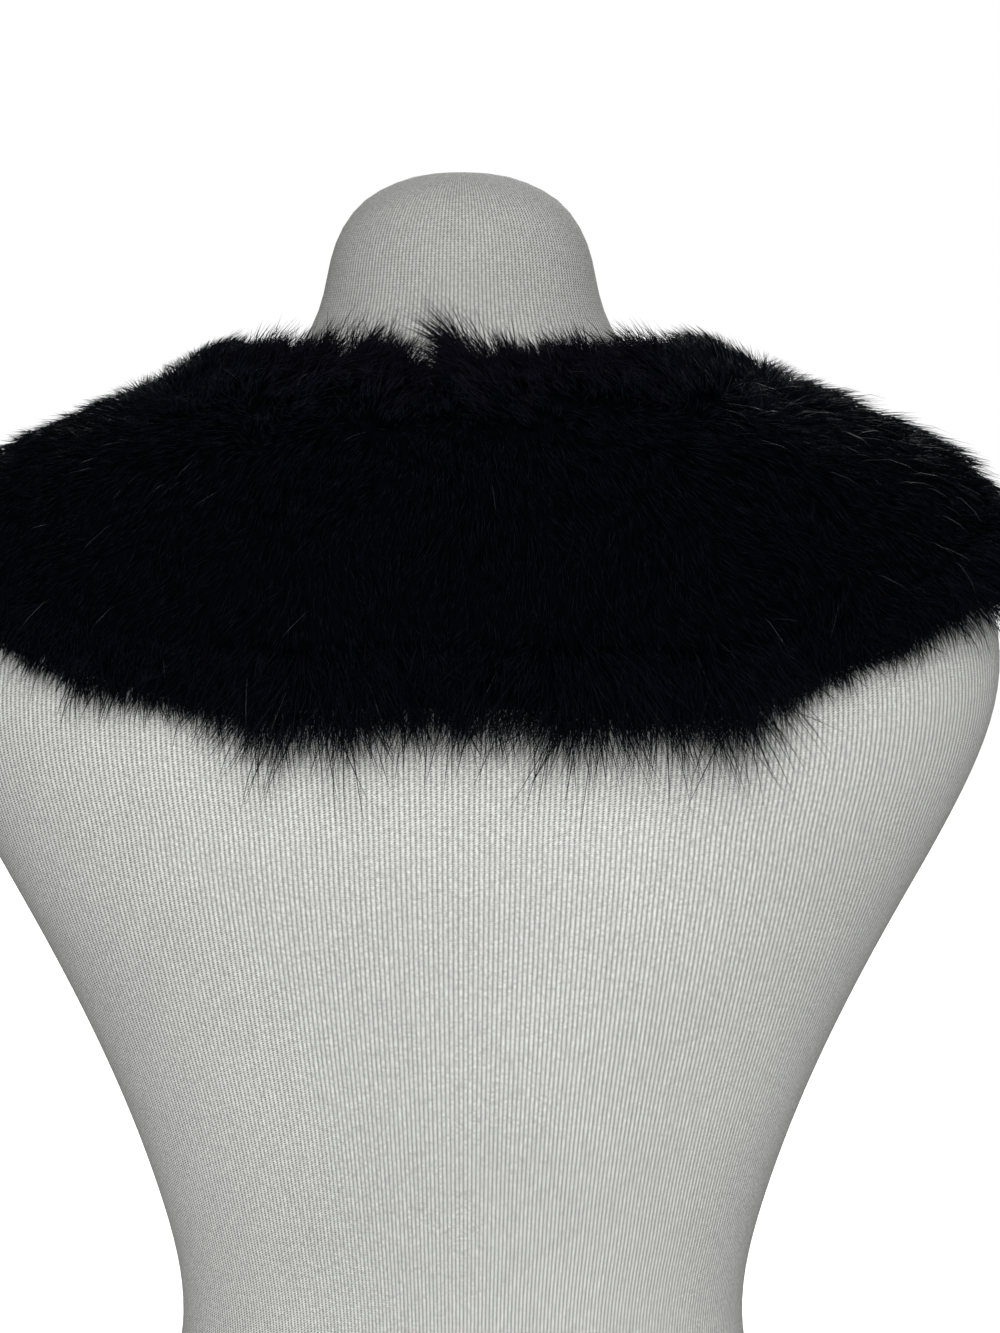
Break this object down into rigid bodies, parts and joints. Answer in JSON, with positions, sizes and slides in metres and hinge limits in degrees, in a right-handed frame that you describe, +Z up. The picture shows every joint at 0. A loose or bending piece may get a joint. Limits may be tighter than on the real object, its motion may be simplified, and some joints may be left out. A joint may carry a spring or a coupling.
{
  "type": "fur collar wrap on a dress form",
  "caption": "Dyed black fur collar wrap, a crescent-cut strip of pelts worn round the shoulders of a limbless, jersey-covered countertop dress form.",
  "frame": {"origin": "bottom centre of the whole object, on the surface that the dress form stands on", "axes": "+Z up; -Y is the chest and +Y the back; +X is the wearer's left"},
  "size_m": [0.4904, 0.276, 0.735],
  "materials": {
    "fur": "dense dyed black fur with a soft gloss on its guard hairs",
    "hide": "matt suede side of dyed fur skins",
    "jersey": "matt off-white ribbed jersey, stretched over the form"
  },
  "bodies": {
    "root": {"form_torso": "jersey", "hide_back_left": "hide", "hide_back_right": "hide", "hide_front_left": "hide", "hide_front_right": "hide", "hide_shoulder_left": "hide", "hide_shoulder_right": "hide", "pile_back_left": "fur", "pile_back_right": "fur", "pile_front_left": "fur", "pile_front_right": "fur", "pile_shoulder_left": "fur", "pile_shoulder_right": "fur"}
  },
  "joints": []
}
